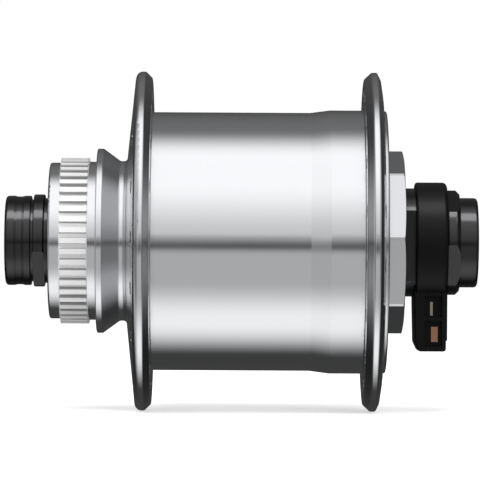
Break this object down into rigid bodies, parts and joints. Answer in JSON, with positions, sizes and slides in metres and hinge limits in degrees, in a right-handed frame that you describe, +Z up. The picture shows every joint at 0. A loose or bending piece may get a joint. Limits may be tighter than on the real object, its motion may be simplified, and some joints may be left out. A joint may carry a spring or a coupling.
{
  "type": "hub dynamo",
  "caption": "Bicycle front hub with a dynamo inside: flanged aluminium shell, splined disc rotor mount, hollow axle for a thru axle and a side connector.",
  "frame": {"origin": "on the axle's centre line, halfway between the two end faces that meet the fork", "axes": "+Y along the axle towards the disc rotor's side, -Y towards the connector, +Z up with the connector's terminal block hanging down, -X towards the viewer in the picture"},
  "size_m": [0.072, 0.1, 0.072],
  "materials": {
    "turned_aluminium": "fine turned rings under a bright clear finish",
    "cover_aluminium": "satin, machined",
    "axle_metal": "machined",
    "black_metal": "satin black finish on machined metal",
    "steel": "plain machined steel",
    "bearing_steel": "ground and polished",
    "stator_iron": "bare sheet iron",
    "magnet": "sintered, dark grey",
    "bobbin_plastic": "moulded",
    "cage_plastic": "moulded",
    "connector_plastic": "moulded, fine grain",
    "wire_cover": "extruded sleeve",
    "copper": "bare copper",
    "tinned_contact": "tinned",
    "rubber": "moulded"
  },
  "bodies": {
    "axle": {"coil_bobbin": "bobbin_plastic", "coil_winding": "copper", "connector_body": "connector_plastic", "ground_contact": "tinned_contact", "hollow_axle": "axle_metal", "inner_nut": "black_metal", "lead_wire": "wire_cover", "left_cap_o_ring": "rubber", "left_claw_poles": "stator_iron", "left_cone": "bearing_steel", "left_dust_cover": "black_metal", "left_end_cap": "black_metal", "left_lock_nut": "black_metal", "left_spacer": "steel", "left_stator_plate": "steel", "live_contact": "copper", "right_bearing_inner_ring": "bearing_steel", "right_cap_o_ring": "rubber", "right_claw_poles": "stator_iron", "right_end_cap": "black_metal", "right_lock_nut": "black_metal", "right_spacer": "steel", "right_stator_plate": "steel", "stator_core": "stator_iron", "stator_nut": "steel"},
    "hub_shell": {"back_iron_ring": "stator_iron", "bearing_circlip": "steel", "cover_gasket": "rubber", "hub_shell": "turned_aluminium", "left_bearing_cup": "bearing_steel", "left_seal": "rubber", "magnet_keeper": "bobbin_plastic", "magnet_segments": "magnet", "right_bearing_outer_ring": "bearing_steel", "right_bearing_shields": "steel", "right_cover_seal": "rubber", "side_cover": "cover_aluminium"},
    "left_ball_set": {"left_ball_cage": "steel", "left_balls": "bearing_steel"},
    "right_ball_set": {"right_ball_cage": "cage_plastic", "right_balls": "bearing_steel"}
  },
  "joints": [
    {"name": "hub_spin", "type": "hinge", "parent": "axle", "child": "hub_shell", "pos_m": [0, 0, 0], "axis": [0, 1, 0], "continuous": true},
    {"name": "left_ball_set_roll", "type": "hinge", "parent": "axle", "child": "left_ball_set", "pos_m": [0, 0.0306, 0], "axis": [0, 1, 0], "continuous": true},
    {"name": "right_ball_set_roll", "type": "hinge", "parent": "axle", "child": "right_ball_set", "pos_m": [0, -0.0287, 0], "axis": [0, 1, 0], "continuous": true}
  ],
  "couplings": [
    {"joint": "left_ball_set_roll", "follows": "hub_spin", "ratio": 0.5679},
    {"joint": "right_ball_set_roll", "follows": "hub_spin", "ratio": 0.5646}
  ]
}
